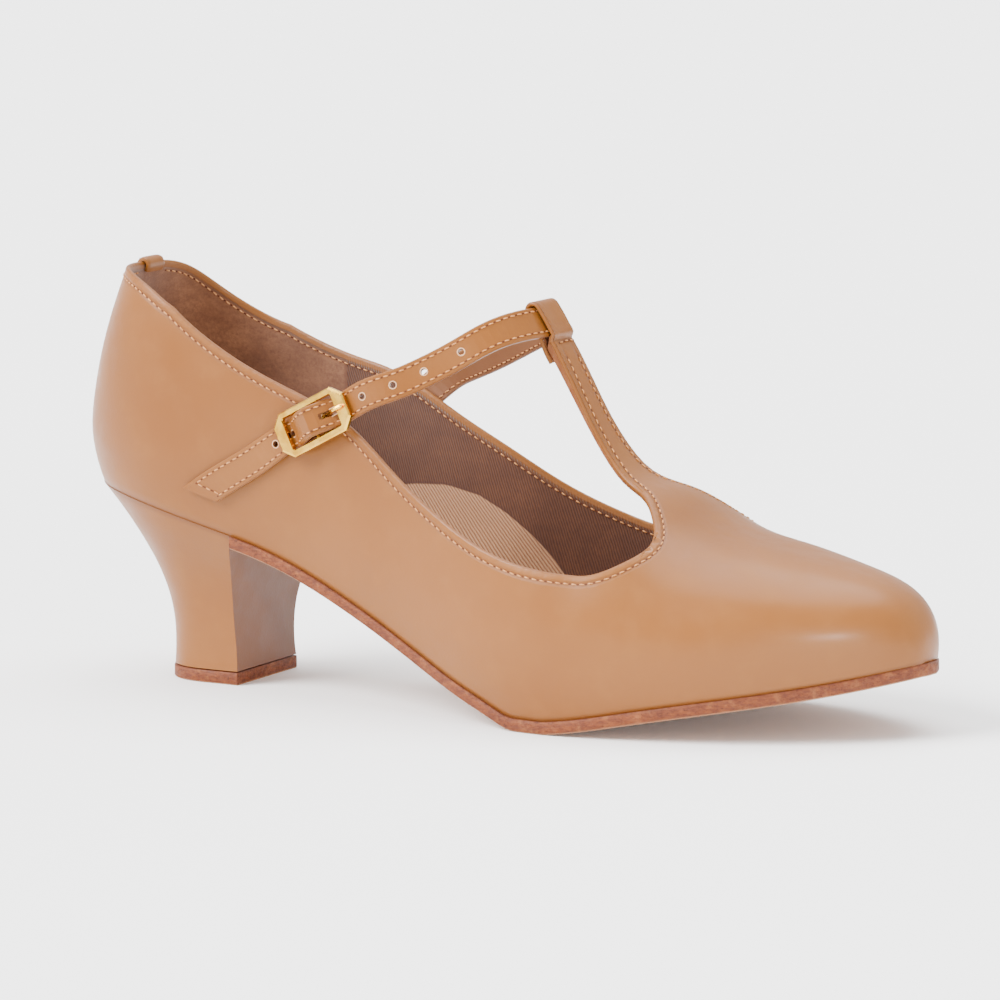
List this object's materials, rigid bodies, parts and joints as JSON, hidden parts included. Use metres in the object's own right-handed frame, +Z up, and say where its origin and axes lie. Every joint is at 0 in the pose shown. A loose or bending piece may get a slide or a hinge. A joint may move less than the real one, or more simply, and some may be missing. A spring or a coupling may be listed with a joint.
{
  "type": "character shoe",
  "caption": "Tan leather T-strap character shoe for the right foot, on a covered mid-height heel, with an ankle strap and a small metal buckle.",
  "frame": {"origin": "middle of the heel's tread, on the floor", "axes": "+X to the toe, +Z up, -Y to the outer side (the little toe's side) of this right shoe"},
  "size_m": [0.2299, 0.0809, 0.1061],
  "materials": {
    "upper": "smooth tan leather, satin",
    "outsole": "raw red-brown sole leather",
    "heel": "heel block covered in smooth tan leather",
    "top_lift": "raw red-brown lift",
    "insole": "matt beige sock, finely ribbed",
    "back_tab": "smooth tan leather",
    "strap": "smooth tan leather, stitched edges",
    "buckle_frame": "pale gold plated",
    "buckle_tab": "brown leather, cut edges",
    "buckle_prong": "pale gold plated"
  },
  "bodies": {
    "root": {"upper": "upper", "outsole": "outsole", "heel": "heel", "top_lift": "top_lift", "insole": "insole", "back_tab": "back_tab", "strap": "strap", "buckle_frame": "buckle_frame", "buckle_tab": "buckle_tab", "buckle_prong": "buckle_prong"}
  },
  "joints": []
}
